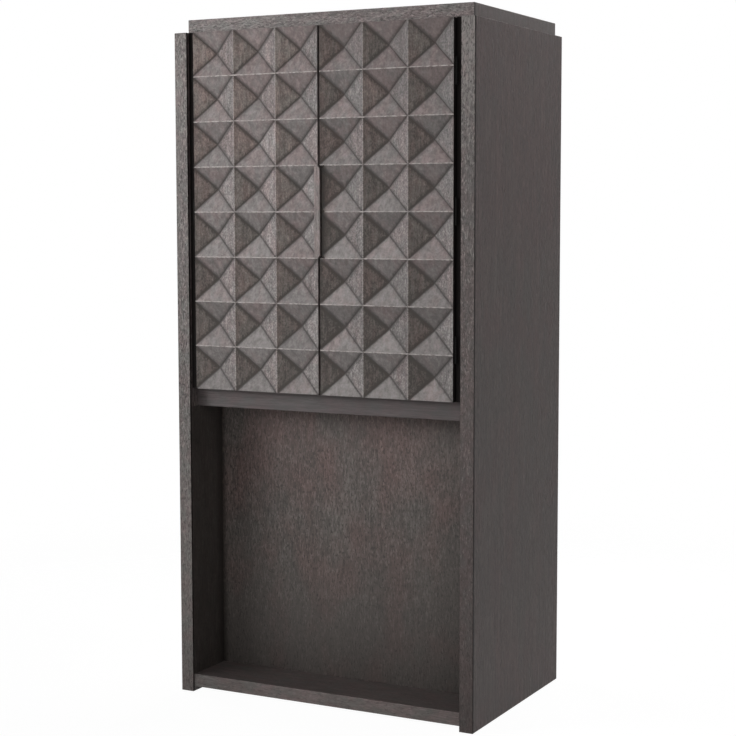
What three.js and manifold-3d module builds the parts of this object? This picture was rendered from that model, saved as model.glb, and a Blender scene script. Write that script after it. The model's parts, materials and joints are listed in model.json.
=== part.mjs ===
// Bar armoire: a tall cupboard with two carved doors over an open niche.
// Millimetres, +Z up, the front faces -Y. The origin is on the floor, under the middle of the case.

import * as THREE from 'three';
import { mergeVertices } from 'three/addons/utils/BufferGeometryUtils.js';
import Module from 'manifold-3d';

const wasm = await Module();
wasm.setup();

// Driving dimensions of the case
const caseWidth = 1000;
const caseDepth = 660;
const panelHeight = 2038;
const panelThickness = 43;
const panelEase = 1;

const topBoardThickness = 42;
const topBoardInset = 23;
const frontRecess = 43;

const carcassThickness = 25;
const backThickness = 12;
const backInset = 8;

const railHeight = 66;
const railThickness = 25;
const railBottom = 900;

const soffitThickness = 18;
const nicheBackDepth = 179;
const nicheBackThickness = 18;
const nicheFloorBottom = 17;
const nicheFloorThickness = 40;
const nicheFloorRecess = 6;

// Doors
const doorTopGap = 1;
const doorBottom = 958;
const doorCoreThickness = 8;
const doorMeetingGap = 7;
const doorEdgeGap = 5;
const doorReveal = 23;

const cofferColumns = 3;
const cofferRows = 8;
const cofferDepth = 29;
const cofferWeb = 3;
const cofferRidge = 3;
const cofferMargin = 2.5;

// Pull lip on the left door, and the finger cove beside it in the right door
const pullFirstRow = 3;
const pullRows = 2;
const lipOnDoor = 12;
const lipProud = 8;
const lipThickness = 10;
const lipEndCut = 8;
const coveWidth = 14;
const coveFloorWidth = 3;

// Hinges
const hingesPerDoor = 3;
const hingeEndMargin = 110;
const hingeHeight = 76;
const hingeKnuckles = 5;
const knuckleGap = 0.4;
const barrelRadius = 4.2;
const barrelSides = 12;
const hingePinRadius = 2;
const hingePinClearance = 0.25;
const hingePinHeadRadius = 3.4;
const hingePinHeadHeight = 2;
const pivotBehindFront = 9;
const leafThickness = 1.5;
const leafWidth = 26;
const leafGap = 1;
const leafCornerRadius = 4;
const leafHoleRadius = 2.2;
const leafHoleCount = 3;
const leafHoleSides = 8;
const leafCornerSteps = 3;

// Black hinge stiles in the reveals
const stileRecess = 14;

// Inside
const shelfThickness = 22;
const shelfSideGap = 1;
const shelfFrontGap = 22;
const shelfPlaceShares = [0.335, 0.66];
const shelfPinRadius = 2.5;
const shelfPinShank = 9;
const shelfPinHeadRadius = 5;
const shelfPinHead = 9;
const shelfPinInset = 60;
const shelfHoleSpacing = 32;
const shelfHolesEachWay = 1;

const stemRails = 4;
const stemRailSpacing = 105;
const stemRailWidth = 44;
const stemRailWeb = 12;
const stemRailFlange = 6;
const stemRailDrop = 24;
const stemRailLength = 420;
const stemRailNose = 16;
const stemRailFrontGap = 30;

const catchWidth = 46;
const catchDepth = 22;
const catchHeight = 14;
const catchFromCentre = 60;
const catchPoleHeight = 4;
const catchPoleInset = 4;
const strikeWidth = 38;
const strikeHeight = 18;
const strikeThickness = 1.5;

const glideRadius = 11;
const glideThickness = 2;
const glideEase = 1;
const glideStemRadius = 3;
const glideStemLength = 14;
const glideInset = 45;

// Fits shared by everything
const seatGap = 0.3;
const cutOverrun = 1;
const roundSides = 12;

// Places worked out from the driving dimensions
const front = -caseDepth / 2;
const back = caseDepth / 2;
const outerX = caseWidth / 2;
const innerX = outerX - panelThickness;
const panelBottom = glideThickness;
const panelTop = panelBottom + panelHeight;
const carcassFront = front + frontRecess;
const ceilingBottom = panelTop - carcassThickness;
const railTop = railBottom + railHeight;
const backFront = back - backInset - backThickness;
const nicheBackFront = front + nicheBackDepth;
const nicheFloorTop = nicheFloorBottom + nicheFloorThickness;
const floorBottom = railTop - carcassThickness;

const doorTop = panelTop - doorTopGap;
const doorInner = doorMeetingGap / 2;
const doorOuter = innerX - doorReveal;
const faceBack = front + cofferDepth + cofferWeb;
const coreBack = faceBack + doorCoreThickness;
const rowPitch = (doorTop - doorBottom) / cofferRows;
const pullTop = doorTop - pullFirstRow * rowPitch;
const pullBottom = pullTop - pullRows * rowPitch;

const pivotX = doorOuter + doorEdgeGap;
const pivotY = front + pivotBehindFront;
const leafInner = doorOuter + leafThickness;
const stileInner = leafInner + leafGap + leafThickness;

// The shelves share out the height between the cupboard floor and the stemware rack
const rackBottom = ceilingBottom - stemRailDrop;
const shelfHeights = shelfPlaceShares.map((share) => THREE.MathUtils.lerp(railTop, rackBottom, share));
const shelfPinRows = [carcassFront + shelfFrontGap + shelfPinInset, backFront - shelfPinInset];

const glideRows = [front + glideInset, back - glideInset];
const glideX = outerX - panelThickness / 2;

const stainedOak = new THREE.MeshStandardMaterial({ color: 0x5b5350, roughness: 0.62, metalness: 0 });
const carvedOak = new THREE.MeshStandardMaterial({ color: 0x6b625f, roughness: 0.58, metalness: 0 });
const blackPaint = new THREE.MeshStandardMaterial({ color: 0x0b0a0a, roughness: 0.8, metalness: 0 });
const liningOak = new THREE.MeshStandardMaterial({ color: 0x4c4441, roughness: 0.6, metalness: 0 });
const blackSteel = new THREE.MeshStandardMaterial({ color: 0x1b1b1c, roughness: 0.45, metalness: 0.9 });
const brightSteel = new THREE.MeshStandardMaterial({ color: 0xa9abad, roughness: 0.35, metalness: 1 });
const darkNylon = new THREE.MeshStandardMaterial({ color: 0x202020, roughness: 0.7, metalness: 0 });

const armoire = new THREE.Group();

function add(name, geometry, material) {
  const mesh = new THREE.Mesh(geometry, material);
  mesh.name = name;
  armoire.add(mesh);
}

function solid(geometry) {
  const bare = geometry.clone();
  bare.deleteAttribute('normal');
  bare.deleteAttribute('uv');
  const merged = mergeVertices(bare);
  return new wasm.Manifold(new wasm.Mesh({
    numProp: 3,
    vertProperties: merged.attributes.position.array,
    triVerts: new Uint32Array(merged.index.array),
  }));
}

function surface(body) {
  const mesh = body.getMesh();
  const geometry = new THREE.BufferGeometry();
  geometry.setAttribute('position', new THREE.BufferAttribute(mesh.vertProperties, 3));
  geometry.setIndex(new THREE.BufferAttribute(mesh.triVerts, 1));
  geometry.computeVertexNormals();
  return geometry;
}

function cut(geometry, tools) {
  let body = solid(geometry);
  for (const tool of tools) body = body.subtract(solid(tool));
  return surface(body);
}

function join(geometry, others) {
  let body = solid(geometry);
  for (const other of others) body = body.add(solid(other));
  return surface(body);
}

// An outline swept along one axis between two stops. The two axes of the outline follow it in X, Y, Z order.
const outlineAxes = { x: ['y', 'z'], y: ['z', 'x'], z: ['x', 'y'] };

function sweep(points, axis, from, to) {
  const shape = new THREE.Shape(points.map(([u, v]) => new THREE.Vector2(u, v)));
  return sweepShape(shape, axis, from, to);
}

function sweepShape(shape, axis, from, to, curveSegments = 1) {
  const geometry = new THREE.ExtrudeGeometry(shape, { depth: 1, bevelEnabled: false, steps: 1, curveSegments });
  const place = geometry.attributes.position;
  const vertex = { x: 0, y: 0, z: 0 };
  const [uAxis, vAxis] = outlineAxes[axis];
  for (let i = 0; i < place.count; i += 1) {
    vertex[uAxis] = place.getX(i);
    vertex[vAxis] = place.getY(i);
    vertex[axis] = THREE.MathUtils.lerp(from, to, place.getZ(i));
    place.setXYZ(i, vertex.x, vertex.y, vertex.z);
  }
  geometry.computeVertexNormals();
  return geometry;
}

// A board is a rectangle with its four long arrises eased, swept along its length.
function board(span, along, ease = panelEase) {
  const [uAxis, vAxis] = outlineAxes[along];
  const [u0, u1] = span[uAxis];
  const [v0, v1] = span[vAxis];
  const outline = [
    [u0 + ease, v0], [u1 - ease, v0], [u1, v0 + ease], [u1, v1 - ease],
    [u1 - ease, v1], [u0 + ease, v1], [u0, v1 - ease], [u0, v0 + ease],
  ];
  return sweep(outline, along, span[along][0], span[along][1]);
}

function block(span) {
  const [u0, u1] = span.x;
  const [v0, v1] = span.y;
  return sweep([[u0, v0], [u1, v0], [u1, v1], [u0, v1]], 'z', span.z[0], span.z[1]);
}

function rod(radius, axis, from, to, centre, sides = roundSides) {
  const outline = [];
  for (let i = 0; i < sides; i += 1) {
    const turn = (2 * Math.PI * i) / sides;
    outline.push([centre[0] + radius * Math.cos(turn), centre[1] + radius * Math.sin(turn)]);
  }
  return sweep(outline, axis, from, to);
}

// The right-hand piece turned over into the left-hand one.
function mirrored(geometry) {
  const flipped = geometry.index ? geometry.toNonIndexed() : geometry.clone();
  const place = flipped.attributes.position;
  for (let i = 0; i < place.count; i += 3) {
    const second = [place.getX(i + 1), place.getY(i + 1), place.getZ(i + 1)];
    place.setXYZ(i, -place.getX(i), place.getY(i), place.getZ(i));
    place.setXYZ(i + 1, -place.getX(i + 2), place.getY(i + 2), place.getZ(i + 2));
    place.setXYZ(i + 2, -second[0], second[1], second[2]);
  }
  flipped.computeVertexNormals();
  return flipped;
}

function addPair(name, geometry, material) {
  add(`right_${name}`, geometry, material);
  add(`left_${name}`, mirrored(geometry), material);
}

// A side panel with its holes for the shelf pins and the glide stems
function shelfPinZ(shelfBottom) {
  return shelfBottom - seatGap - shelfPinRadius;
}

function sidePanel() {
  const span = { x: [innerX, outerX], y: [front, back], z: [panelBottom, panelTop] };
  const holes = [];
  for (const shelfBottom of shelfHeights) {
    for (let step = -shelfHolesEachWay; step <= shelfHolesEachWay; step += 1) {
      const z = shelfPinZ(shelfBottom) + step * shelfHoleSpacing;
      for (const y of shelfPinRows) {
        const depth = innerX + shelfPinShank + seatGap;
        holes.push(rod(shelfPinRadius + seatGap, 'x', innerX - cutOverrun, depth, [y, z]));
      }
    }
  }
  for (const y of glideRows) {
    const depth = panelBottom + glideStemLength + seatGap;
    holes.push(rod(glideStemRadius + seatGap, 'z', panelBottom - cutOverrun, depth, [glideX, y]));
  }
  return cut(board(span, 'z'), holes);
}

// Nail-on glide: a disc under the panel and a stem up into it
function glide(y) {
  const profile = [
    [0, 0], [glideRadius - glideEase, 0], [glideRadius, glideEase], [glideRadius, glideThickness - seatGap],
    [glideStemRadius, glideThickness - seatGap], [glideStemRadius, glideThickness + glideStemLength],
    [0, glideThickness + glideStemLength],
  ];
  const lathe = new THREE.LatheGeometry(profile.map(([r, z]) => new THREE.Vector2(r, z)), roundSides);
  lathe.rotateX(Math.PI / 2);
  lathe.translate(glideX, y, 0);
  return lathe;
}

function buildCase() {
  addPair('side_panel', sidePanel(), stainedOak);
  add('top_board', board({
    x: [-outerX + topBoardInset, outerX - topBoardInset],
    y: [carcassFront, back],
    z: [panelTop, panelTop + topBoardThickness],
  }, 'x'), stainedOak);
  add('cupboard_ceiling', board({
    x: [-innerX, innerX],
    y: [carcassFront, backFront],
    z: [ceilingBottom, panelTop],
  }, 'x'), liningOak);
  add('front_rail', board({
    x: [-innerX, innerX],
    y: [carcassFront, carcassFront + railThickness],
    z: [railBottom, railTop],
  }, 'x'), stainedOak);
  add('cupboard_floor', board({
    x: [-innerX, innerX],
    y: [carcassFront + railThickness, backFront],
    z: [floorBottom, railTop],
  }, 'x'), liningOak);
  add('niche_ceiling', board({
    x: [-innerX, innerX],
    y: [carcassFront + railThickness, nicheBackFront],
    z: [railBottom, railBottom + soffitThickness],
  }, 'x'), stainedOak);
  add('niche_back_panel', board({
    x: [-innerX, innerX],
    y: [nicheBackFront, nicheBackFront + nicheBackThickness],
    z: [nicheFloorTop, floorBottom],
  }, 'x'), stainedOak);
  add('niche_floor', board({
    x: [-innerX, innerX],
    y: [front + nicheFloorRecess, backFront],
    z: [nicheFloorBottom, nicheFloorTop],
  }, 'x'), stainedOak);
  add('upper_back_panel', board({
    x: [-innerX, innerX],
    y: [backFront, backFront + backThickness],
    z: [floorBottom, panelTop],
  }, 'x'), liningOak);
  add('lower_back_panel', board({
    x: [-innerX, innerX],
    y: [backFront, backFront + backThickness],
    z: [nicheFloorBottom, floorBottom],
  }, 'x'), liningOak);
  addPair('hinge_stile', board({
    x: [stileInner, innerX],
    y: [front + stileRecess, carcassFront],
    z: [doorBottom, panelTop],
  }, 'z', 0), blackPaint);
}

// Carved fronts: a grid of four-sided hollows with thin ridges left between them
function coffers(side) {
  const cell = doorOuter - doorInner - 2 * cofferMargin - (cofferColumns - 1) * cofferRidge;
  const width = cell / cofferColumns;
  const tall = doorTop - doorBottom - 2 * cofferMargin - (cofferRows - 1) * cofferRidge;
  const height = tall / cofferRows;
  const deepened = (cofferDepth + cutOverrun) / cofferDepth;
  const hollows = [];
  for (let column = 0; column < cofferColumns; column += 1) {
    for (let row = 0; row < cofferRows; row += 1) {
      const hollow = new THREE.ConeGeometry(Math.SQRT1_2, 1, 4);
      hollow.rotateY(Math.PI / 4);
      hollow.scale(width * deepened, cofferDepth + cutOverrun, height * deepened);
      const x = doorInner + cofferMargin + width / 2 + column * (width + cofferRidge);
      const z = doorBottom + cofferMargin + height / 2 + row * (height + cofferRidge);
      hollow.translate(side * x, front + (cofferDepth - cutOverrun) / 2, z);
      hollows.push(hollow);
    }
  }
  return hollows;
}

function doorSpan(side, y0, y1) {
  const xs = [side * doorInner, side * doorOuter].sort((a, b) => a - b);
  return { x: xs, y: [y0, y1], z: [doorBottom, doorTop] };
}

function lipRebate() {
  return block({
    x: [-doorInner - lipOnDoor - seatGap, -doorInner + cutOverrun],
    y: [front - cutOverrun, front + lipThickness + seatGap],
    z: [pullBottom - seatGap, pullTop + seatGap],
  });
}

// The pull lip has its free corners cut off at 45 degrees
function pullLip() {
  const free = -doorInner + lipProud;
  const seat = -doorInner - lipOnDoor;
  const outline = [
    [pullBottom, seat], [pullTop, seat], [pullTop, -doorInner],
    [pullTop - lipEndCut, free], [pullBottom + lipEndCut, free], [pullBottom, -doorInner],
  ];
  return sweep(outline, 'y', front, front + lipThickness);
}

// The cove slopes in from the carved face to a narrow slot at the core
function fingerCove() {
  const slot = doorInner + coveFloorWidth;
  const outline = [
    [doorInner - cutOverrun, front - cutOverrun], [doorInner + coveWidth, front - cutOverrun],
    [doorInner + coveWidth, front], [slot, faceBack],
    [slot, coreBack + cutOverrun], [doorInner - cutOverrun, coreBack + cutOverrun],
  ];
  return sweep(outline, 'z', pullBottom, pullTop);
}

function buildDoors() {
  const leftFace = cut(block(doorSpan(-1, front, faceBack)), [...coffers(-1), lipRebate()]);
  add('left_door_front', leftFace, carvedOak);
  add('left_door_core', block(doorSpan(-1, faceBack, coreBack)), carvedOak);
  add('left_door_pull_lip', pullLip(), carvedOak);
  const rightFace = cut(block(doorSpan(1, front, faceBack)), [...coffers(1), fingerCove()]);
  add('right_door_front', rightFace, carvedOak);
  add('right_door_core', cut(block(doorSpan(1, faceBack, coreBack)), [fingerCove()]), carvedOak);
}

// Hinge places up the door, the same distance in from both ends
function hingeCentre(index) {
  const lowest = doorBottom + hingeEndMargin + hingeHeight / 2;
  const highest = doorTop - hingeEndMargin - hingeHeight / 2;
  return THREE.MathUtils.lerp(lowest, highest, index / (hingesPerDoor - 1));
}

function knuckleSpan(middle, knuckle) {
  const pitch = hingeHeight / hingeKnuckles;
  const bottom = middle - hingeHeight / 2 + knuckle * pitch;
  return [bottom + knuckleGap / 2, bottom + pitch - knuckleGap / 2];
}

// One leaf: a flat plate with rounded rear corners, screw holes, and every other knuckle of the barrel
function hingeLeaf(middle, x0, x1, firstKnuckle) {
  const bottom = middle - hingeHeight / 2;
  const top = middle + hingeHeight / 2;
  const plateFront = pivotY + barrelRadius + knuckleGap;
  const plateBack = pivotY + leafWidth;
  const outline = new THREE.Shape();
  outline.moveTo(plateFront, bottom);
  outline.lineTo(plateBack - leafCornerRadius, bottom);
  outline.absarc(plateBack - leafCornerRadius, bottom + leafCornerRadius, leafCornerRadius, -Math.PI / 2, 0);
  outline.lineTo(plateBack, top - leafCornerRadius);
  outline.absarc(plateBack - leafCornerRadius, top - leafCornerRadius, leafCornerRadius, 0, Math.PI / 2);
  outline.lineTo(plateFront, top);
  const plate = sweepShape(outline, 'x', x0, x1, leafCornerSteps);
  const knuckles = [];
  const bores = [];
  for (let knuckle = firstKnuckle; knuckle < hingeKnuckles; knuckle += 2) {
    const [z0, z1] = knuckleSpan(middle, knuckle);
    knuckles.push(rod(barrelRadius, 'z', z0, z1, [pivotX, pivotY], barrelSides));
    knuckles.push(block({ x: [x0, x1], y: [pivotY, plateFront + cutOverrun], z: [z0, z1] }));
    const bore = hingePinRadius + hingePinClearance;
    bores.push(rod(bore, 'z', z0 - cutOverrun, z1 + cutOverrun, [pivotX, pivotY], barrelSides));
  }
  const holeY = (plateFront + plateBack) / 2;
  const holePitch = hingeHeight / leafHoleCount;
  for (let hole = 0; hole < leafHoleCount; hole += 1) {
    const z = bottom + holePitch / 2 + hole * holePitch;
    bores.push(rod(leafHoleRadius, 'x', x0 - cutOverrun, x1 + cutOverrun, [holeY, z], leafHoleSides));
  }
  return cut(join(plate, knuckles), bores);
}

function hingePin(middle) {
  const bottom = middle - hingeHeight / 2;
  const top = middle + hingeHeight / 2;
  const shank = rod(hingePinRadius, 'z', bottom - hingePinHeadHeight, top + hingePinHeadHeight / 2,
    [pivotX, pivotY], barrelSides);
  const head = rod(hingePinHeadRadius, 'z', top + seatGap, top + seatGap + hingePinHeadHeight,
    [pivotX, pivotY], barrelSides);
  return join(shank, [head]);
}

function buildHinges() {
  for (let index = 0; index < hingesPerDoor; index += 1) {
    const middle = hingeCentre(index);
    const number = index + 1;
    addPair(`hinge_${number}_door_leaf`, hingeLeaf(middle, doorOuter, leafInner, 1), blackSteel);
    addPair(`hinge_${number}_frame_leaf`, hingeLeaf(middle, leafInner + leafGap, stileInner, 0), blackSteel);
    addPair(`hinge_${number}_pin`, hingePin(middle), blackSteel);
  }
}

function shelfPin(y, shelfBottom) {
  const z = shelfPinZ(shelfBottom);
  const shank = rod(shelfPinRadius, 'x', innerX - shelfPinHead, innerX + shelfPinShank, [y, z]);
  const collar = rod(shelfPinHeadRadius, 'x', innerX - shelfSideGap, innerX - seatGap, [y, z]);
  return join(shank, [collar]);
}

function buildShelves() {
  const names = ['lower', 'upper'];
  shelfHeights.forEach((shelfBottom, level) => {
    add(`${names[level]}_shelf`, board({
      x: [-innerX + shelfSideGap + seatGap, innerX - shelfSideGap - seatGap],
      y: [carcassFront + shelfFrontGap, backFront - seatGap],
      z: [shelfBottom, shelfBottom + shelfThickness],
    }, 'x'), liningOak);
    shelfPinRows.forEach((y, end) => {
      const place = ['front', 'rear'][end];
      addPair(`${names[level]}_shelf_${place}_pin`, shelfPin(y, shelfBottom), brightSteel);
    });
  });
}

// Rails of T section, with the free end of each flange brought to a point, hold glasses by the foot
function buildStemRack() {
  const railFront = carcassFront + stemRailFrontGap;
  for (let index = 0; index < stemRails; index += 1) {
    const centre = (index - (stemRails - 1) / 2) * stemRailSpacing;
    const half = stemRailWidth / 2;
    const web = block({
      x: [centre - stemRailWeb / 2, centre + stemRailWeb / 2],
      y: [railFront + stemRailNose, railFront + stemRailLength],
      z: [rackBottom + stemRailFlange / 2, ceilingBottom],
    });
    const flange = sweep([
      [centre, railFront], [centre + half, railFront + stemRailNose], [centre + half, railFront + stemRailLength],
      [centre - half, railFront + stemRailLength], [centre - half, railFront + stemRailNose],
    ], 'z', rackBottom, rackBottom + stemRailFlange);
    add(`stemware_rail_${index + 1}`, join(web, [flange]), liningOak);
  }
}

// Magnetic catches under the ceiling, with strike plates on the door cores
function buildCatches() {
  const middle = ceilingBottom - catchHeight / 2;
  const x0 = catchFromCentre - catchWidth / 2;
  const strikeFront = coreBack;
  const catchFront = strikeFront + strikeThickness + seatGap;
  const body = block({
    x: [x0, x0 + catchWidth],
    y: [carcassFront + seatGap, carcassFront + seatGap + catchDepth],
    z: [ceilingBottom - catchHeight, ceilingBottom],
  });
  const pole = block({
    x: [x0 + catchPoleInset, x0 + catchWidth - catchPoleInset],
    y: [catchFront, carcassFront + catchDepth / 2],
    z: [middle - catchPoleHeight / 2, middle + catchPoleHeight / 2],
  });
  addPair('magnetic_catch', join(body, [pole]), darkNylon);
  addPair('strike_plate', board({
    x: [catchFromCentre - strikeWidth / 2, catchFromCentre + strikeWidth / 2],
    y: [strikeFront, strikeFront + strikeThickness],
    z: [middle - strikeHeight / 2, middle + strikeHeight / 2],
  }, 'y', strikeThickness), brightSteel);
}

function buildGlides() {
  glideRows.forEach((y, end) => {
    addPair(`${['front', 'rear'][end]}_glide`, glide(y), darkNylon);
  });
}

buildCase();
buildDoors();
buildHinges();
buildShelves();
buildStemRack();
buildCatches();
buildGlides();

export default armoire;
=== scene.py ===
# Bar armoire: veneers, carved doors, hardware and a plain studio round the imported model.
# Metres, +Z up, the doors face -Y. The floor is at Z = 0.
import json
import math

import bmesh
import bpy
from mathutils import Matrix, Vector, noise

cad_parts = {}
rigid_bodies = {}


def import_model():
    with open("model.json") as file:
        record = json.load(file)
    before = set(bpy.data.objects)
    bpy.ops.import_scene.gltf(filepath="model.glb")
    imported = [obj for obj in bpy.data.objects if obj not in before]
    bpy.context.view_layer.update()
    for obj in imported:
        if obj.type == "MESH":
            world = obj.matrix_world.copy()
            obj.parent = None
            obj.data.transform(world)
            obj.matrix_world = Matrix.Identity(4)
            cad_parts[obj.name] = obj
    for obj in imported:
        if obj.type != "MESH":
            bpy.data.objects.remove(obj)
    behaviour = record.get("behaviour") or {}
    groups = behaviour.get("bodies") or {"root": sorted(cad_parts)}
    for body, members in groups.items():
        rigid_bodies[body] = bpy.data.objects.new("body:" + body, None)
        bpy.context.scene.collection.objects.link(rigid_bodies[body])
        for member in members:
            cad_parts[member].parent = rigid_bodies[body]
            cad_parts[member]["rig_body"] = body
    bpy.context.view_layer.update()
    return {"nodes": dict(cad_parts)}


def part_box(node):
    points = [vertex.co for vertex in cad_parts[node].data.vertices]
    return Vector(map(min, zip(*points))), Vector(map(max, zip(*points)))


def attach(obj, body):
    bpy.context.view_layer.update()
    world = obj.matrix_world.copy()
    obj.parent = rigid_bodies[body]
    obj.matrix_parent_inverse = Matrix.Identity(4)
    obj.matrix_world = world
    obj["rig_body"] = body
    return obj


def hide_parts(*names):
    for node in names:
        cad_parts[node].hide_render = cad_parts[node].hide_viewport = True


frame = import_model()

nodes = frame["nodes"]
scene = bpy.context.scene
print("armoire: packed model loaded,", len(nodes), "nodes")


# Node helpers: numbers and tuples are set on a socket, sockets are linked to it
def addNode(tree, kind, sockets=None, **settings):
    made = tree.nodes.new(kind)
    for key, value in settings.items():
        setattr(made, key, value)
    for key, value in (sockets or {}).items():
        if isinstance(value, bpy.types.NodeSocket):
            tree.links.new(value, made.inputs[key])
        else:
            made.inputs[key].default_value = value
    return made


def maths(tree, operation, *values):
    return addNode(tree, "ShaderNodeMath", dict(enumerate(values)), operation=operation).outputs[0]


def remap(tree, value, low, high, newLow=0.0, newHigh=1.0, smooth=False):
    made = addNode(tree, "ShaderNodeMapRange", {"Value": value, "From Min": low, "From Max": high,
                                                "To Min": newLow, "To Max": newHigh},
                   interpolation_type="SMOOTHSTEP" if smooth else "LINEAR")
    return made.outputs["Result"]


def between(tree, share, low, high):
    return addNode(tree, "ShaderNodeMix", {"Factor": share, "A": low, "B": high}).outputs["Result"]


def tinted(tree, share, below, above, blend="MIX"):
    sockets = {"Factor": share}
    for key, tone in (("A", below), ("B", above)):
        sockets[key] = tone if isinstance(tone, bpy.types.NodeSocket) else (*tone, 1)
    return addNode(tree, "ShaderNodeMix", sockets, data_type="RGBA", blend_type=blend).outputs["Result"]


def ownPlace(tree):
    return addNode(tree, "ShaderNodeTexCoord").outputs["Object"]


def split(tree, vector):
    return addNode(tree, "ShaderNodeSeparateXYZ", {"Vector": vector}).outputs


def plainNoise(tree, place, scale, detail):
    return addNode(tree, "ShaderNodeTexNoise", {"Vector": place, "Scale": scale, "Detail": detail}).outputs


def bumped(tree, height, strength, distance):
    sockets = {"Height": height, "Strength": strength, "Distance": distance}
    return addNode(tree, "ShaderNodeBump", sockets).outputs[0]


def blank(name):
    finish = bpy.data.materials.new(name)
    finish.use_nodes = True
    finish.node_tree.nodes.clear()
    return finish, finish.node_tree


def surfaceOut(tree, shader):
    addNode(tree, "ShaderNodeOutputMaterial", {"Surface": shader})


def coated(tree, colour, roughness, normal, shine=0.5, metallic=0.0):
    sockets = {"Base Color": colour, "Roughness": roughness, "Metallic": metallic,
               "Specular IOR Level": shine, "Normal": normal}
    surfaceOut(tree, addNode(tree, "ShaderNodeBsdfPrincipled", sockets).outputs[0])


# Noise stretched along the grain; across and along are the sizes of one fleck in metres
def grainNoise(tree, place, axis, across, along, low=0.35, high=0.65, detail=2.0, shift=0.0):
    scale = [1 / across] * 3
    scale["XYZ".index(axis)] = 1 / along
    spot = addNode(tree, "ShaderNodeMapping", {"Vector": place, "Scale": scale,
                                               "Location": (shift, shift * 1.7, shift * 0.6)})
    made = addNode(tree, "ShaderNodeTexNoise", {"Vector": spot.outputs[0], "Scale": 1.0, "Detail": detail,
                                                "Roughness": 0.6})
    return remap(tree, made.outputs[0], low, high)


# Fibres that wander sideways, by amount over length
def waved(tree, place, amount, length):
    drift = plainNoise(tree, place, 1 / length, 1.5)[1]
    return addNode(tree, "ShaderNodeVectorMath", {0: drift, 1: (2 * amount,) * 3, 2: place},
                   operation="MULTIPLY_ADD").outputs[0]


def layered(tree, below, pattern, gain, centre=0.5):
    scaled = maths(tree, "MULTIPLY_ADD", pattern, gain, -gain * centre)
    return maths(tree, "ADD", below, scaled)


# Each layer of noise is read from a place of its own
shifts = {"patch": 3.7, "broad": 2.9, "streak": 1.3, "fibre": 5.1, "fleck": 9.2, "pore": 7.9, "hue": 8.3,
          "rub": 2.2, "speckle": 6.6, "mottle": 7.2, "dapple": 1.9, "scuff": 4.4}

# Stained oak. A layer is (across, along, gain) and a cut is where its noise starts and ends. Rise and warmth
# run from one height to another. A painted shade is (axis, start, end, tone), by distance from the middle.
oakLook = {
    "grain": "Z", "wave": 0.0012, "waveLength": 0.06,
    "patch": (0.16, 0.5, 0.16), "broad": (0.013, 0.09, 0.22), "streak": (0.005, 0.05, 0.30),
    "fibre": (0.0018, 0.03, 0.16), "fleck": (0.0036, 0.013, 0.34), "pore": (0.003, 0.0095, 0.44),
    "fleckCut": (0.54, 0.68), "poreCut": (0.55, 0.66), "sparse": 0.15,
    "tones": ((0.052, 0.044, 0.041), (0.118, 0.104, 0.099), (0.215, 0.194, 0.186)),
    "hueSize": 0.03, "cool": (0.945, 1.01, 0.99), "warm": (1.06, 0.975, 0.98),
    "roughFrom": (0.2, 0.8), "rough": (0.52, 0.66), "shine": 0.3,
    "relief": 0.35, "reliefHigh": 0.0005, "poreDepth": 0.8, "wear": 0.4, "rub": (0.006, 0.03, 0.3, 0.6),
    "calm": 0.6, "calmFrom": 0.1, "calmTo": 1.5, "rise": (0.0, 2.0, 0.5, 0.5),
    "warmth": (0.0, 2.0, 0.0, 0.0), "glaze": (),
}


# The value that the layers add up to picks the colour, the gloss and the relief
def woodValue(tree, place, look):
    axis = look["grain"]
    fibres = waved(tree, place, look["wave"], look["waveLength"])
    value = 0.5
    for layer in ("patch", "broad", "streak", "fibre"):
        across, along, gain = look[layer]
        grain = grainNoise(tree, fibres, axis, across, along, shift=shifts[layer])
        value = layered(tree, value, grain, gain)
    flecks = grainNoise(tree, fibres, axis, *look["fleck"][:2], *look["fleckCut"], shift=shifts["fleck"])
    value = layered(tree, value, flecks, look["fleck"][2], look["sparse"])
    pores = grainNoise(tree, fibres, axis, *look["pore"][:2], *look["poreCut"], shift=shifts["pore"])
    return layered(tree, value, pores, -look["pore"][2], look["sparse"]), pores


def woodSurface(tree, place, value, pores, look, overlays=(), hueShift=0.0):
    dark, middle, light = look["tones"]
    ramp = addNode(tree, "ShaderNodeValToRGB", {"Fac": value})
    stops = ramp.color_ramp.elements
    stops[0].position, stops[0].color = 0.0, (*dark, 1)
    stops[1].position, stops[1].color = 1.0, (*light, 1)
    stops.new(0.5).color = (*middle, 1)
    hue = grainNoise(tree, place, look["grain"], look["hueSize"], 2 * look["hueSize"], shift=shifts["hue"])
    warmth = remap(tree, split(tree, place)["Z"], *look["warmth"])
    hue = maths(tree, "ADD", maths(tree, "ADD", hue, hueShift), warmth)
    colour = tinted(tree, 1.0, ramp.outputs["Color"], tinted(tree, hue, look["cool"], look["warm"]),
                    "MULTIPLY")
    for blend, share, tone in overlays:
        colour = tinted(tree, share, colour, tone, blend)
    relief = maths(tree, "MULTIPLY_ADD", pores, -look["poreDepth"], value)
    coated(tree, colour, remap(tree, value, *look["roughFrom"], *look["rough"]),
           bumped(tree, relief, look["relief"], look["reliefHigh"]), look["shine"])


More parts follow.
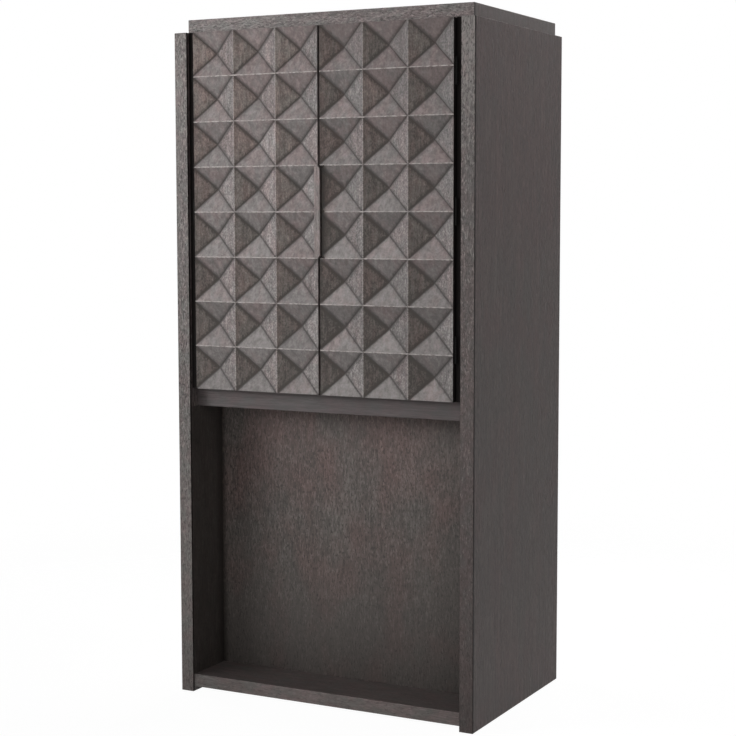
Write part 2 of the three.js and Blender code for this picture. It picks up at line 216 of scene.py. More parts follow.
def oakFinish(name, **changes):
    look = {**oakLook, **changes}
    finish, tree = blank(name)
    place = ownPlace(tree)
    apart = split(tree, place)
    value, pores = woodValue(tree, place, look)
    calm = remap(tree, apart["Z"], look["calmFrom"], look["calmTo"], look["calm"], 1.0)
    rise = remap(tree, apart["Z"], *look["rise"])
    value = maths(tree, "MULTIPLY_ADD", maths(tree, "SUBTRACT", value, 0.5), calm, rise)
    worn = addNode(tree, "ShaderNodeAttribute", attribute_name="wear").outputs["Fac"]
    paleShare = grainNoise(tree, place, look["grain"], *look["rub"], shift=shifts["rub"])
    value = maths(tree, "MULTIPLY_ADD", maths(tree, "MULTIPLY", worn, paleShare), look["wear"], value)
    # Painted shade: darker by distance from the middle
    glazed = [("MULTIPLY", remap(tree, maths(tree, "ABSOLUTE", apart[axis]), start, end, smooth=True), tone)
              for axis, start, end, tone in look["glaze"]]
    woodSurface(tree, place, value, pores, look, glazed)
    return finish


# The carved doors: tone, painted light and shade on the facets, dark valleys with painted shade, and rubbed
# ridges with a painted highlight follow the grid of hollows
carving = {
    "columns": 3, "rows": 8, "overhang": 0.003, "ridge": 0.003, "depth": 0.028,
    "ridgeDrop": 0.0005, "roundness": 0.0006, "cuts": 8, "longEdge": 0.01,
    "seed": 5, "uneven": 0.0004, "unevenLength": 0.03, "unevenFiner": 3, "sunk": 1.5,
}
noise.seed_set(carving["seed"])


# How far a point is from the middle of its hollow, in shares of the pitch, and which facet it is on
def hollowGrid(tree, place, low, high):
    over = carving["overhang"]
    pitchX = (high.x - low.x + 2 * over) / carving["columns"]
    pitchZ = (high.z - low.z + 2 * over) / carving["rows"]
    apart = split(tree, place)
    column = maths(tree, "DIVIDE", maths(tree, "SUBTRACT", apart["X"], low.x - over), pitchX)
    row = maths(tree, "DIVIDE", maths(tree, "SUBTRACT", apart["Z"], low.z - over), pitchZ)
    offX = maths(tree, "SUBTRACT", maths(tree, "FRACT", column), 0.5)
    offZ = maths(tree, "SUBTRACT", maths(tree, "FRACT", row), 0.5)
    awayX = maths(tree, "ABSOLUTE", offX)
    awayZ = maths(tree, "ABSOLUTE", offZ)
    return {
        "pitchX": pitchX, "pitchZ": pitchZ, "x": apart["X"], "z": apart["Z"], "column": column, "row": row,
        "offX": offX, "offZ": offZ, "awayX": awayX, "awayZ": awayZ,
        "sideways": maths(tree, "GREATER_THAN", awayX, awayZ),
        "rightward": maths(tree, "GREATER_THAN", offX, 0.0),
        "upward": maths(tree, "GREATER_THAN", offZ, 0.0),
    }


# One throw of the dice for each facet
def facetDice(tree, grid):
    facing = between(tree, grid["sideways"], maths(tree, "SIGN", grid["offZ"]),
                     maths(tree, "SIGN", grid["offX"]))
    facet = maths(tree, "MULTIPLY_ADD", grid["sideways"], 3.0, facing)
    which = addNode(tree, "ShaderNodeCombineXYZ", {
        "X": maths(tree, "FLOOR", grid["column"]), "Y": maths(tree, "FLOOR", grid["row"]), "Z": facet})
    dice = addNode(tree, "ShaderNodeTexWhiteNoise", {"Vector": which.outputs[0]}).outputs
    hue = addNode(tree, "ShaderNodeSeparateColor", {"Color": dice["Color"]}).outputs["Green"]
    return dice["Value"], hue


# Painted light and shade: each facet is paler or darker by the way it faces, from the door's bottom to its
# top
def facetToneAndShade(tree, grid, facetShades, low, high):
    tones = {facet: remap(tree, grid["z"], low.z, high.z, *pair) for facet, pair in facetShades.items()}
    across = between(tree, grid["rightward"], tones["left"], tones["right"])
    updown = between(tree, grid["upward"], tones["bottom"], tones["top"])
    return between(tree, grid["sideways"], updown, across)


def speckledValue(tree, place, grid, value, look):
    share = remap(tree, grid["rightward"], 0, 1, look["leftCalm"], 1)
    share = maths(tree, "MULTIPLY", grid["sideways"], share)
    across, along, gain = look["speckle"]
    speckle = grainNoise(tree, place, "Z", across, along, *look["speckleCut"], detail=1.0,
                         shift=shifts["speckle"])
    value = maths(tree, "MULTIPLY_ADD", layered(tree, 0.0, speckle, gain), share, value)
    for layer in ("mottle", "dapple"):
        across, along, gain = look[layer]
        value = layered(tree, value, grainNoise(tree, place, "Z", across, along, shift=shifts[layer]), gain)
    return value


# Dirt and painted shade in the valleys, wider painted shade on the top and left facet; valley is the
# distance from one
def valleyDirtAndShade(tree, place, grid, value, scuffed, look):
    wander = plainNoise(tree, place, look["wanderScale"], 1.0)[0]
    wandered = maths(tree, "MULTIPLY_ADD", wander, look["wander"], -look["wander"] / 2)
    apartness = maths(tree, "ABSOLUTE", maths(tree, "SUBTRACT", grid["awayX"], grid["awayZ"]))
    valley = maths(tree, "MULTIPLY_ADD", apartness, grid["pitchX"] * math.sqrt(0.5), wandered)
    # Dirt with painted shade in the crease of each valley
    dirtAndShade = remap(tree, valley, 0.0, look["valleyWidth"], 1.0, 0.0, smooth=True)
    dirtAndShade = maths(tree, "MULTIPLY", dirtAndShade, remap(tree, scuffed, 0, 1, look["dirtAndShadeLeast"], 1))
    value = maths(tree, "MULTIPLY_ADD", dirtAndShade, -look["valleyDark"], value)
    # Painted shade beside the valleys, strongest on the facets that face away from the light
    leftward = maths(tree, "SUBTRACT", 1.0, grid["rightward"])
    shaded = between(tree, grid["sideways"], grid["upward"], leftward)
    valleyShade = remap(tree, valley, 0.0, look["valleyShadeWidth"], 1.0, 0.0, smooth=True)
    valleyShade = maths(tree, "MULTIPLY", valleyShade, remap(tree, shaded, 0, 1, look["valleyShadeLeast"], 1))
    return maths(tree, "MULTIPLY_ADD", valleyShade, -look["valleyShadeDark"], value)


# Ridges rubbed pale with a painted highlight, stronger on level ridges than upright ones, and a dark spot
# where two of them cross
def rubAndHighlightShare(tree, grid, scuffed, look):
    ridge = maths(tree, "SUBTRACT", 0.5, maths(tree, "MAXIMUM", grid["awayX"], grid["awayZ"]))
    ridge = maths(tree, "MULTIPLY", ridge, grid["pitchZ"])
    paleShare = remap(tree, ridge, look["ridgeWidth"] * look["ridgeCore"], look["ridgeWidth"], 1.0, 0.0,
                   smooth=True)
    # Painted highlight: level ridges are made paler than upright ones
    light = between(tree, grid["sideways"], look["ridgeLight"], look["uprightLight"])
    paleShare = maths(tree, "MULTIPLY", paleShare, light)
    return maths(tree, "MULTIPLY", paleShare, remap(tree, scuffed, 0, 1, look["rubLeast"], 1))


def spottedValue(tree, grid, value, look):
    crossing = maths(tree, "SUBTRACT", 0.5, maths(tree, "MINIMUM", grid["awayX"], grid["awayZ"]))
    crossing = maths(tree, "MULTIPLY", crossing, grid["pitchZ"])
    spot = remap(tree, crossing, look["spotFrom"], look["spotWidth"], 1.0, 0.0, smooth=True)
    return maths(tree, "MULTIPLY_ADD", spot, -look["spotDark"], value)


# Painted shadow of the left door's lip on the right door's facets beside the pull, darkest at the slot
def lipShadow(tree, grid, reaches):
    overlays = []
    for reach in reaches:
        above = maths(tree, "GREATER_THAN", grid["z"], lipLow.z)
        pullHeight = maths(tree, "MULTIPLY", above, maths(tree, "LESS_THAN", grid["z"], lipHigh.z))
        beside = remap(tree, grid["x"], *reach["across"], 1.0, 0.0, smooth=True)
        overlays.append(("MULTIPLY", maths(tree, "MULTIPLY", beside, pullHeight), reach["shadowTone"]))
    return overlays


def carvedFinish(name, low, high, facetShades, reaches):
    look = {**oakLook, **carvedLook}
    look["warmth"] = (low.z, high.z, *look["warmthEnds"])
    finish, tree = blank(name)
    place = ownPlace(tree)
    grid = hollowGrid(tree, place, low, high)
    toneDice, hueDice = facetDice(tree, grid)
    value, pores = woodValue(tree, place, look)
    calm = between(tree, grid["sideways"], look["flatCalm"], 1.0)
    value = maths(tree, "MULTIPLY_ADD", maths(tree, "SUBTRACT", value, 0.5), calm, 0.5)
    value = layered(tree, value, toneDice, look["facetToneAndShade"])
    value = maths(tree, "ADD", value, facetToneAndShade(tree, grid, facetShades, low, high))
    value = speckledValue(tree, place, grid, value, look)
    scuffed = grainNoise(tree, place, "X", *look["scuff"], detail=2.5, shift=shifts["scuff"])
    value = valleyDirtAndShade(tree, place, grid, value, scuffed, look)
    bare = rubAndHighlightShare(tree, grid, scuffed, look)
    value = spottedValue(tree, grid, value, look)
    # Painted shade: the left facet of each hollow, facing away from the light, is tinted browner
    leftShadeTint = maths(tree, "MULTIPLY", grid["sideways"], maths(tree, "SUBTRACT", 1.0, grid["rightward"]))
    overlays = [("MULTIPLY", leftShadeTint, look["leftShadeTint"]), ("MIX", bare, look["bare"]),
                *lipShadow(tree, grid, reaches)]
    woodSurface(tree, place, value, maths(tree, "MULTIPLY", pores, grid["sideways"]), look, overlays,
                layered(tree, 0.0, hueDice, look["facetHue"]))
    return finish


# Paint, metal and nylon
paintLook = {"tones": ((0.0062, 0.0047, 0.0045), (0.0125, 0.0096, 0.0092)), "brush": (0.0015, 0.04),
             "rough": (0.7, 0.85), "relief": (0.2, 0.0003), "shine": 0.12}
steelLook = {"stainScale": 160.0, "stainCut": (0.35, 0.65), "roughFrom": (0.3, 0.7),
             "brush": (0.0003, 0.006), "relief": (0.15, 0.0001)}
nylonLook = {"tones": ((0.012, 0.012, 0.012), (0.024, 0.024, 0.025)), "pebbleScale": 2200.0,
             "rough": (0.3, 0.7, 0.5, 0.7), "relief": (0.3, 0.0001)}


def paintFinish(name):
    finish, tree = blank(name)
    brushed = grainNoise(tree, ownPlace(tree), "Z", *paintLook["brush"], detail=3.0)
    coated(tree, tinted(tree, brushed, *paintLook["tones"]), remap(tree, brushed, 0, 1, *paintLook["rough"]),
           bumped(tree, brushed, *paintLook["relief"]), paintLook["shine"])
    return finish


def steelFinish(name, dull, clean, rough, metallic, shine=0.5):
    finish, tree = blank(name)
    place = ownPlace(tree)
    stains = plainNoise(tree, place, steelLook["stainScale"], 3.0)[0]
    brushed = grainNoise(tree, place, "Z", *steelLook["brush"], detail=1.0)
    coated(tree, tinted(tree, remap(tree, stains, *steelLook["stainCut"]), dull, clean),
           remap(tree, stains, *steelLook["roughFrom"], *rough), bumped(tree, brushed, *steelLook["relief"]),
           shine, metallic)
    return finish


def nylonFinish(name):
    finish, tree = blank(name)
    pebble = plainNoise(tree, ownPlace(tree), nylonLook["pebbleScale"], 2.0)[0]
    coated(tree, tinted(tree, pebble, *nylonLook["tones"]), remap(tree, pebble, *nylonLook["rough"]),
           bumped(tree, pebble, *nylonLook["relief"]))
    return finish


sideVeneer = oakFinish(
    "sideVeneer", tones=((0.066, 0.0535, 0.051), (0.148, 0.1255, 0.122), (0.27, 0.236, 0.229)),
    patch=(0.12, 0.3, 0.26), broad=(0.026, 0.2, 0.4), streak=(0.0065, 0.12, 0.5), pore=(0.006, 0.02, 0.55),
    fleck=(0.0065, 0.025, 0.46), hueSize=0.1, calm=0.9, warmth=(0.9, 2.0, -0.3, 0.7),
    rise=(0.2, 1.0, 0.62, 0.49), shine=0.2, warm=(1.06, 0.97, 0.975), cool=(0.985, 1.0, 0.99))
edgeLook = {
    "tones": ((0.048, 0.04, 0.038), (0.127, 0.112, 0.107), (0.27, 0.243, 0.234)), "wave": 0.005,
    "waveLength": 0.03, "streak": (0.0045, 0.022, 0.5), "fleck": (0.0042, 0.013, 0.75),
    "pore": (0.0038, 0.0105, 0.9), "relief": 0.5, "calm": 0.45}
leftEdge = oakFinish("leftEdge", **edgeLook, rise=(0.3, 1.4, 0.75, 0.46))
rightEdge = oakFinish(
    "rightEdge", **edgeLook, rise=(1.5, 1.95, 0.26, 0.74), calmTo=1.95, warmth=(0.9, 2.0, 0.25, -0.45),
    cool=(0.975, 0.995, 0.985), warm=(1.085, 0.965, 0.96))
edgeGlue = oakFinish(
    "edgeGlue", tones=((0.007, 0.0055, 0.005), (0.016, 0.0125, 0.0115), (0.032, 0.027, 0.025)), shine=0.15)
topEnds = oakFinish(
    "topEnds", tones=((0.092, 0.077, 0.074), (0.19, 0.163, 0.159), (0.32, 0.283, 0.277)),
    broad=(0.02, 0.05, 0.3), streak=(0.006, 0.04, 0.16), pore=(0.003, 0.0095, 0.24),
    fleck=(0.0036, 0.013, 0.2), cool=(0.99, 0.995, 0.99), warm=(1.04, 0.98, 0.975))
topFigure = oakFinish(
    "topFigure", grain="X", tones=((0.061, 0.052, 0.049), (0.152, 0.133, 0.129), (0.304, 0.27, 0.265)),
    wave=0.008, waveLength=0.035, streak=(0.0042, 0.02, 0.5), fleck=(0.0036, 0.012, 0.6),
    pore=(0.0036, 0.01, 0.75), relief=0.5)
railVeneer = oakFinish(
    "railVeneer", grain="X", tones=((0.034, 0.028, 0.027), (0.083, 0.07, 0.07), (0.154, 0.135, 0.135)),
    broad=(0.008, 0.2, 0.35), streak=(0.004, 0.11, 0.2), pore=(0.003, 0.02, 0.1), fleck=(0.003, 0.03, 0.08))
# Painted shade on the niche back: darker towards the side walls and towards the floor
shadedNicheBack = oakFinish(
    "shadedNicheBack", tones=((0.0355, 0.0295, 0.0275), (0.0895, 0.0765, 0.072), (0.175, 0.154, 0.146)),
    warm=(1.16, 0.94, 0.915), cool=(0.985, 1.0, 0.97), broad=(0.013, 0.05, 0.26), streak=(0.006, 0.025, 0.4),
    pore=(0.0045, 0.012, 0.75), fleck=(0.0045, 0.012, 0.6), hueSize=0.12, calm=0.4, calmFrom=0.15,
    calmTo=0.65, rise=(0.06, 0.36, 0.33, 0.5), warmth=(0.25, 0.7, -0.55, 0.15),
    glaze=(("X", 0.437, 0.457, (0.42, 0.4, 0.38)), ("X", 0.2, 0.42, (0.8, 0.79, 0.78))))
# Painted shade: a darker copy of the side panels' oak for their inner faces in the niche, darker still
# towards the back
shadedNicheSides = oakFinish(
    "shadedNicheSides", tones=((0.031, 0.026, 0.024), (0.072, 0.062, 0.058), (0.13, 0.115, 0.108)), calm=0.8,
    cool=(0.97, 1.0, 0.97), warm=(1.02, 0.985, 0.97), glaze=(("Y", 0.2, 0.152, (0.42, 0.4, 0.39)),))
floorLook = {"grain": "X", "pore": (0.004, 0.014, 0.4), "fleck": (0.004, 0.014, 0.3),
             "streak": (0.005, 0.05, 0.25)}
floorVeneer = oakFinish(
    "floorVeneer", **floorLook, tones=((0.051, 0.041, 0.0385), (0.133, 0.112, 0.108), (0.257, 0.223, 0.216)))
floorEdge = oakFinish(
    "floorEdge", **floorLook, tones=((0.079, 0.066, 0.062), (0.205, 0.177, 0.169), (0.395, 0.348, 0.338)))
liningTones = ((0.078, 0.064, 0.059), (0.172, 0.147, 0.139), (0.315, 0.276, 0.265))
liningVeneer = oakFinish("liningVeneer", tones=liningTones, calm=0.8)
shelfVeneer = oakFinish("shelfVeneer", grain="X", tones=liningTones, calm=0.8)
shelfEdge = oakFinish(
    "shelfEdge", grain="X", tones=((0.045, 0.037, 0.034), (0.11, 0.094, 0.089), (0.21, 0.184, 0.177)),
    broad=(0.004, 0.12, 0.4))
# Painted shade: a very dark oak that stands in for the shade in the cove beside the pull
coveShadeOak = oakFinish(
    "coveShadeOak", tones=((0.006, 0.0045, 0.004), (0.018, 0.0145, 0.012), (0.04, 0.034, 0.03)), shine=0.08)
doorEdge = oakFinish("doorEdge", tones=((0.05, 0.043, 0.04), (0.135, 0.118, 0.113), (0.27, 0.243, 0.235)))
lipOak = oakFinish("lipOak", tones=((0.096, 0.08, 0.076), (0.207, 0.17, 0.164), (0.333, 0.283, 0.275)),
                   wave=0.002)
# Painted shade: black paint on the hinge stiles and the doors' outer edges stands in for the deep shade of
# the reveals
blackShadePaint = paintFinish("blackShadePaint")
blackSteel = steelFinish(
    "blackSteel", (0.003, 0.0028, 0.0025), (0.006, 0.0055, 0.005), (0.7, 0.85), 0.0, 0.12)
platedScrews = steelFinish("platedScrews", (0.006, 0.0055, 0.005), (0.014, 0.013, 0.012), (0.4, 0.55), 0.2)
platedSteel = steelFinish("platedSteel", (0.13, 0.13, 0.135), (0.22, 0.22, 0.225), (0.5, 0.65), 1.0)
blackNylon = nylonFinish("blackNylon")
print("armoire: finishes mixed")


# Piece helpers: within tells the corners at a board's end, and edgeBand the faces on a board's edge
shaping = {"weld": 0.00001, "cut": 0.000001, "flat": 0.5, "square": 0.985, "within": 0.0001,
           "edgeBand": 0.0003}


def fromNode(name):
    shape = bmesh.new()
    shape.from_mesh(nodes[name].data)
    bmesh.ops.remove_doubles(shape, verts=shape.verts, dist=shaping["weld"])
    bmesh.ops.dissolve_limit(shape, angle_limit=math.radians(shaping["flat"]), verts=shape.verts,
                             edges=shape.edges)
    return shape


def boxShape(low, high):
    shape = bmesh.new()
    bmesh.ops.create_cube(shape, size=1.0)
    bmesh.ops.scale(shape, vec=[end - start for start, end in zip(low, high)], verts=shape.verts)
    bmesh.ops.translate(shape, vec=[(start + end) / 2 for start, end in zip(low, high)], verts=shape.verts)
    return shape


def roundEdges(shape, edges, width, segments=2, clamped=True):
    bmesh.ops.bevel(shape, geom=edges, offset=width, offset_type="OFFSET", segments=segments, profile=0.5,
                    affect="EDGES", material=-1, clamp_overlap=clamped)


def soften(shape, width, sharpest=25, segments=2):
    sharp = [edge for edge in shape.edges if edge.calc_face_angle(0) > math.radians(sharpest)]
    roundEdges(shape, sharp, width, segments)


def bisect(shape, point, normal, **settings):
    everything = shape.verts[:] + shape.edges[:] + shape.faces[:]
    bmesh.ops.bisect_plane(shape, geom=everything, plane_co=point, plane_no=normal, dist=shaping["cut"],
                           **settings)


# Rounded arrises are rubbed paler by the finish
def markWear(shape):
    wear = shape.loops.layers.float.new("wear")
    for face in shape.faces:
        slanted = max(abs(part) for part in face.normal) < shaping["square"]
        for loop in face.loops:
            loop[wear] = 1.0 if slanted else 0.0


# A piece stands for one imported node, rides on its body and takes its slot
def placePiece(shape, node, ending, finishes):
    mesh = bpy.data.meshes.new(f"{node}_{ending}")
    shape.to_mesh(mesh)
    shape.free()
    for finish in finishes:
        mesh.materials.append(finish)
    piece = bpy.data.objects.new(f"{node}_{ending}", mesh)
    scene.collection.objects.link(piece)
    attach(piece, nodes[node]["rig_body"])
    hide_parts(node)
    return piece


# Flat boards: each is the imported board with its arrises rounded
flatBoards = {
    "round": 0.0005, "topLipping": 0.008,
    "otherSides": {"top_board": ("x", topEnds), "niche_floor": ("y", floorEdge),
                   "lower_shelf": ("y", shelfEdge), "upper_shelf": ("y", shelfEdge)},
    "finishes": {
        "top_board": topFigure, "front_rail": railVeneer, "niche_ceiling": railVeneer,
        "niche_back_panel": shadedNicheBack, "niche_floor": floorVeneer,
        "cupboard_ceiling": shelfVeneer, "cupboard_floor": shelfVeneer,
        "upper_back_panel": liningVeneer, "lower_back_panel": liningVeneer,
        "lower_shelf": shelfVeneer, "upper_shelf": shelfVeneer,
        "stemware_rail_1": liningVeneer, "stemware_rail_2": liningVeneer,
        "stemware_rail_3": liningVeneer, "stemware_rail_4": liningVeneer,
    },
}


# The top board's ends show the lipping on its front edge
def lipEnds(shape):
    seam = min(vert.co.y for vert in shape.verts) + flatBoards["topLipping"]
    bisect(shape, (0, seam, 0), (0, 1, 0))
    for face in shape.faces:
        if face.material_index == 1 and face.calc_center_median().y < seam:
            face.material_index = 2


def makeBoards():
    for name, finish in flatBoards["finishes"].items():
        shape = fromNode(name)
        finishes = [finish]
        if name in flatBoards["otherSides"]:
            axis, otherFinish = flatBoards["otherSides"][name]
            finishes.append(otherFinish)
            for face in shape.faces:
                if abs(face.normal["xyz".index(axis)]) > shaping["square"]:
                    face.material_index = 1
        if name == "top_board":
            finishes.append(edgeGlue)
            lipEnds(shape)
        soften(shape, flatBoards["round"])
        markWear(shape)
        placePiece(shape, name, "veneered", finishes)


makeBoards()
print("armoire: boards veneered")


# Side panels: a solid lipping on the front edge, with a fine sunk line behind it
sidePanels = {"lipping": 0.007, "groove": 0.0005, "round": 0.0007, "topRound": 0.0016, "sharp": 40}


def makeSidePanel(side, edgeFinish):
    name = f"{side}_side_panel"
    low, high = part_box(name)
    middle = (low.x + high.x) / 2
    seam = low.y + sidePanels["lipping"]
    groove = sidePanels["groove"]
    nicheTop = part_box("niche_ceiling")[0].z
    shape = fromNode(name)
    sharp = [edge for edge in shape.edges if edge.calc_face_angle(0) > math.radians(sidePanels["sharp"])]
    rims = [edge for edge in sharp if all(vert.co.z > high.z - shaping["within"] for vert in edge.verts)]
    roundEdges(shape, rims, sidePanels["topRound"], segments=3)
    soften(shape, sidePanels["round"], sharpest=sidePanels["sharp"])
    for y in (seam - groove, seam, seam + groove):
        bisect(shape, (0, y, 0), (0, 1, 0))
    bisect(shape, (0, 0, nicheTop), (0, 0, 1))
    for vert in shape.verts:
        if abs(vert.co.y - seam) < shaping["weld"]:
            vert.co.x += math.copysign(groove, middle - vert.co.x)
    for face in shape.faces:
        centre = face.calc_center_median()
        sideways = abs(face.normal.x) > 0.5
        inwards = sideways and face.normal.x * middle < 0
        if centre.y < seam:
            face.material_index = 2 if sideways else 1
        else:
            # The inner faces in the niche take the darker, painted-shade oak
            face.material_index = 3 if inwards and centre.z < nicheTop else 0
    markWear(shape)
    placePiece(shape, name, "lipped", [sideVeneer, edgeFinish, edgeGlue, shadedNicheSides])


makeSidePanel("left", leftEdge)
makeSidePanel("right", rightEdge)
print("armoire: side panels lipped")


# Carved door fronts
def carve(piece, cutter):
    knife = piece.modifiers.new("cut", "BOOLEAN")
    knife.operation = "DIFFERENCE"
    knife.solver = "EXACT"
    knife.object = cutter
    bpy.context.view_layer.update()
    cutMesh = bpy.data.meshes.new_from_object(piece.evaluated_get(bpy.context.evaluated_depsgraph_get()))
    piece.modifiers.clear()
    oldMesh = piece.data
    piece.data = cutMesh
    bpy.data.meshes.remove(oldMesh)
    cutMesh.name = piece.name
    bpy.data.objects.remove(cutter)


def cutterFrom(outline, low, high):
    shape = bmesh.new()
    face = shape.faces.new([shape.verts.new((x, y, low)) for x, y in outline])
    pushed = bmesh.ops.extrude_face_region(shape, geom=[face])["geom"]
    raised = [part for part in pushed if isinstance(part, bmesh.types.BMVert)]
    bmesh.ops.translate(shape, vec=(0, 0, high - low), verts=raised)
    bmesh.ops.recalc_face_normals(shape, faces=shape.faces)
    mesh = bpy.data.meshes.new("cutter")
    shape.to_mesh(mesh)
    shape.free()
    cutter = bpy.data.objects.new("cutter", mesh)
    scene.collection.objects.link(cutter)
    return cutter


def carvedShape(low, high):
    over = 2 * carving["overhang"]
    centre = (low + high) / 2
    shape = bmesh.new()
    bmesh.ops.create_grid(shape, x_segments=carving["columns"], y_segments=carving["rows"], size=0.5)
    bmesh.ops.scale(shape, vec=(high.x - low.x + over, high.z - low.z + over, 1), verts=shape.verts)
    upright = Matrix.Rotation(math.pi / 2, 3, "X")
    bmesh.ops.rotate(shape, cent=(0, 0, 0), matrix=upright, verts=shape.verts)
    bmesh.ops.translate(shape, vec=(centre.x, low.y, centre.z), verts=shape.verts)
    crests = [edge for edge in shape.edges if not edge.is_boundary]
    hollows = list(shape.faces)
    bmesh.ops.inset_individual(shape, faces=hollows, thickness=carving["ridge"] / 2, depth=0.0,
                               use_even_offset=True)
    mouths = list({vert for hollow in hollows for vert in hollow.verts})
    bmesh.ops.translate(shape, vec=(0, carving["ridgeDrop"], 0), verts=mouths)
    bmesh.ops.poke(shape, faces=hollows, offset=carving["ridgeDrop"] - carving["depth"], center_mode="MEAN")
    roundEdges(shape, crests, carving["roundness"])
    for corner, way in ((low, -1), (high, 1)):
        for normal in ((way, 0, 0), (0, 0, way)):
            bisect(shape, corner, normal, clear_outer=True)
    longEdges = [edge for edge in shape.edges if edge.calc_length() > carving["longEdge"]]
    bmesh.ops.subdivide_edges(shape, edges=longEdges, cuts=carving["cuts"], use_grid_fill=True)
    makeUneven(shape)
    front = [edge for edge in shape.edges if edge.is_boundary]
    pushed = bmesh.ops.extrude_edge_only(shape, edges=front)["geom"]
    for part in pushed:
        if isinstance(part, bmesh.types.BMVert):
            part.co.y = high.y
    bmesh.ops.contextual_create(shape, geom=[edge for edge in shape.edges if edge.is_boundary])
    bmesh.ops.recalc_face_normals(shape, faces=shape.faces)
    roundEdges(shape, front, carving["roundness"])
    return shape


# Every point drifts a little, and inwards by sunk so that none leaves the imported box
def makeUneven(shape):
    finer = carving["unevenFiner"]
    for vert in shape.verts:
        if not vert.is_boundary:
            drift = noise.noise_vector(vert.co / carving["unevenLength"])
            drift += noise.noise_vector(vert.co * finer / carving["unevenLength"]) / 2
            vert.co += carving["uneven"] * Vector((drift.x, drift.y + carving["sunk"], drift.z))


# The pull: a lip on the left door's meeting edge and a cove beside it in the right door's
pull = {"play": 0.0003, "cove": 0.0142, "coveBand": 0.0002, "slot": 0.003, "scoop": 0.005, "over": 0.001,
        "flat": 0.99, "coveFacing": (0.05, 0.9)}
lipLow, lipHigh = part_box("left_door_pull_lip")
# Painted shadow of the lip, as two reaches across the right door beside the pull
lipShadows = ({"across": (0.0095, 0.026), "shadowTone": (0.15, 0.125, 0.105)},
              {"across": (0.014, 0.045), "shadowTone": (0.72, 0.7, 0.68)})

# Painted light and shade on each facet of a hollow, by the way it faces, at the door's bottom and at its top
facetShadeTones = {
    "left": {"left": (-0.29, 0.18), "right": (0.16, -0.12), "top": (0.08, 0.045), "bottom": (0.18, 0.185)},
    "right": {"left": (-0.4, -0.08), "right": (0.05, -0.31), "top": (0.02, -0.09), "bottom": (0.28, 0.14)},
}
carvedLook = {
    "tones": ((0.058, 0.05, 0.047), (0.169, 0.148, 0.142), (0.36, 0.322, 0.31)),
    "cool": (0.955, 0.99, 1.0), "warm": (1.06, 0.968, 0.98), "warmthEnds": (-0.5, 0.2),
    "leftShadeTint": (1.03, 0.99, 0.93), "bare": (0.52, 0.475, 0.455),
    "facetToneAndShade": 0.14, "facetHue": 0.7, "flatCalm": 0.35, "leftCalm": 0.5,
    "streak": (0.005, 0.05, 0.1), "fleck": (0.0036, 0.009, 0.12), "pore": (0.003, 0.007, 0.14),
    "speckle": (0.0038, 0.006, 0.4), "speckleCut": (0.4, 0.62), "mottle": (0.014, 0.02, 0.22),
    "dapple": (0.006, 0.007, 0.14), "scuff": (0.004, 0.011, 0.4, 0.62),
    "wanderScale": 45.0, "wander": 0.0016,
    "valleyWidth": 0.0046, "valleyDark": 0.8, "dirtAndShadeLeast": 0.6, "valleyShadeWidth": 0.014, "valleyShadeDark": 0.42,
    "valleyShadeLeast": 0.5, "ridgeWidth": 0.0022, "ridgeCore": 0.4, "ridgeLight": 1.0, "uprightLight": 0.4,
    "rubLeast": 0.12, "spotFrom": 0.001, "spotWidth": 0.005, "spotDark": 0.25,
}


def lipCutter(high):
    play, over = pull["play"], pull["over"]
    xs, ys = (lipLow.x - play, high.x + over), (lipLow.y - over, lipHigh.y + play)
    outline = [(xs[0], ys[0]), (xs[1], ys[0]), (xs[1], ys[1]), (xs[0], ys[1])]
    return cutterFrom(outline, lipLow.z - play, lipHigh.z + play)


def coveCutter(low):
    over = pull["over"]
    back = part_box("right_door_core")[1].y + over
    outside, end, slot = low.x - over, low.x + pull["cove"], low.x + pull["slot"]
    outline = [(outside, low.y - over), (end, low.y - over), (end, low.y), (slot, low.y + pull["scoop"]),
               (slot, back), (outside, back)]
    return cutterFrom(outline, lipLow.z, lipHigh.z)


# The outer edge is painted black as painted shade for the reveal, the cove takes a dark oak as painted
# shade, and the flat meeting, top and bottom edges are plain oak
def finishCarvedFaces(piece, side, low, high):
    outer = low.x if side == "left" else high.x
    coveEnd = low.x + pull["cove"] - pull["coveBand"]
    for face in piece.data.polygons:
        centre, normal = face.center, face.normal
        besidePull = side == "right" and lipLow.z - pull["over"] < centre.z < lipHigh.z + pull["over"]
        inCove = centre.x < coveEnd and normal.x < pull["coveFacing"][0] and normal.y < pull["coveFacing"][1]
        if abs(centre.x - outer) < shaping["edgeBand"]:
            face.material_index = 1
        elif besidePull and inCove:
            face.material_index = 3
        elif max(abs(normal.x), abs(normal.z)) > pull["flat"]:
            face.material_index = 2


def makeDoorFront(side):
    name = f"{side}_door_front"
    low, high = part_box(name)
    reaches = lipShadows if side == "right" else ()
    finish = carvedFinish(f"{side}Carving", low, high, facetShadeTones[side], reaches)
    piece = placePiece(carvedShape(low, high), name, "carved", [finish, blackShadePaint, doorEdge, coveShadeOak])
    carve(piece, lipCutter(high) if side == "left" else coveCutter(low))
    finishCarvedFaces(piece, side, low, high)


makeDoorFront("left")
makeDoorFront("right")
print("armoire: door fronts carved")


# Door cores and the pull lip
doorBacks = {"round": 0.0005, "lipRound": 0.0012, "lipEase": 0.001}


def makeDoorCore(side):
    name = f"{side}_door_core"
    low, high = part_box(name)
    outer = low.x if side == "left" else high.x
    shape = fromNode(name)
    for face in shape.faces:
        face.material_index = 1 if abs(face.calc_center_median().x - outer) < shaping["edgeBand"] else 0
    soften(shape, doorBacks["round"])
    markWear(shape)
    placePiece(shape, name, "veneered", [liningVeneer, blackShadePaint])


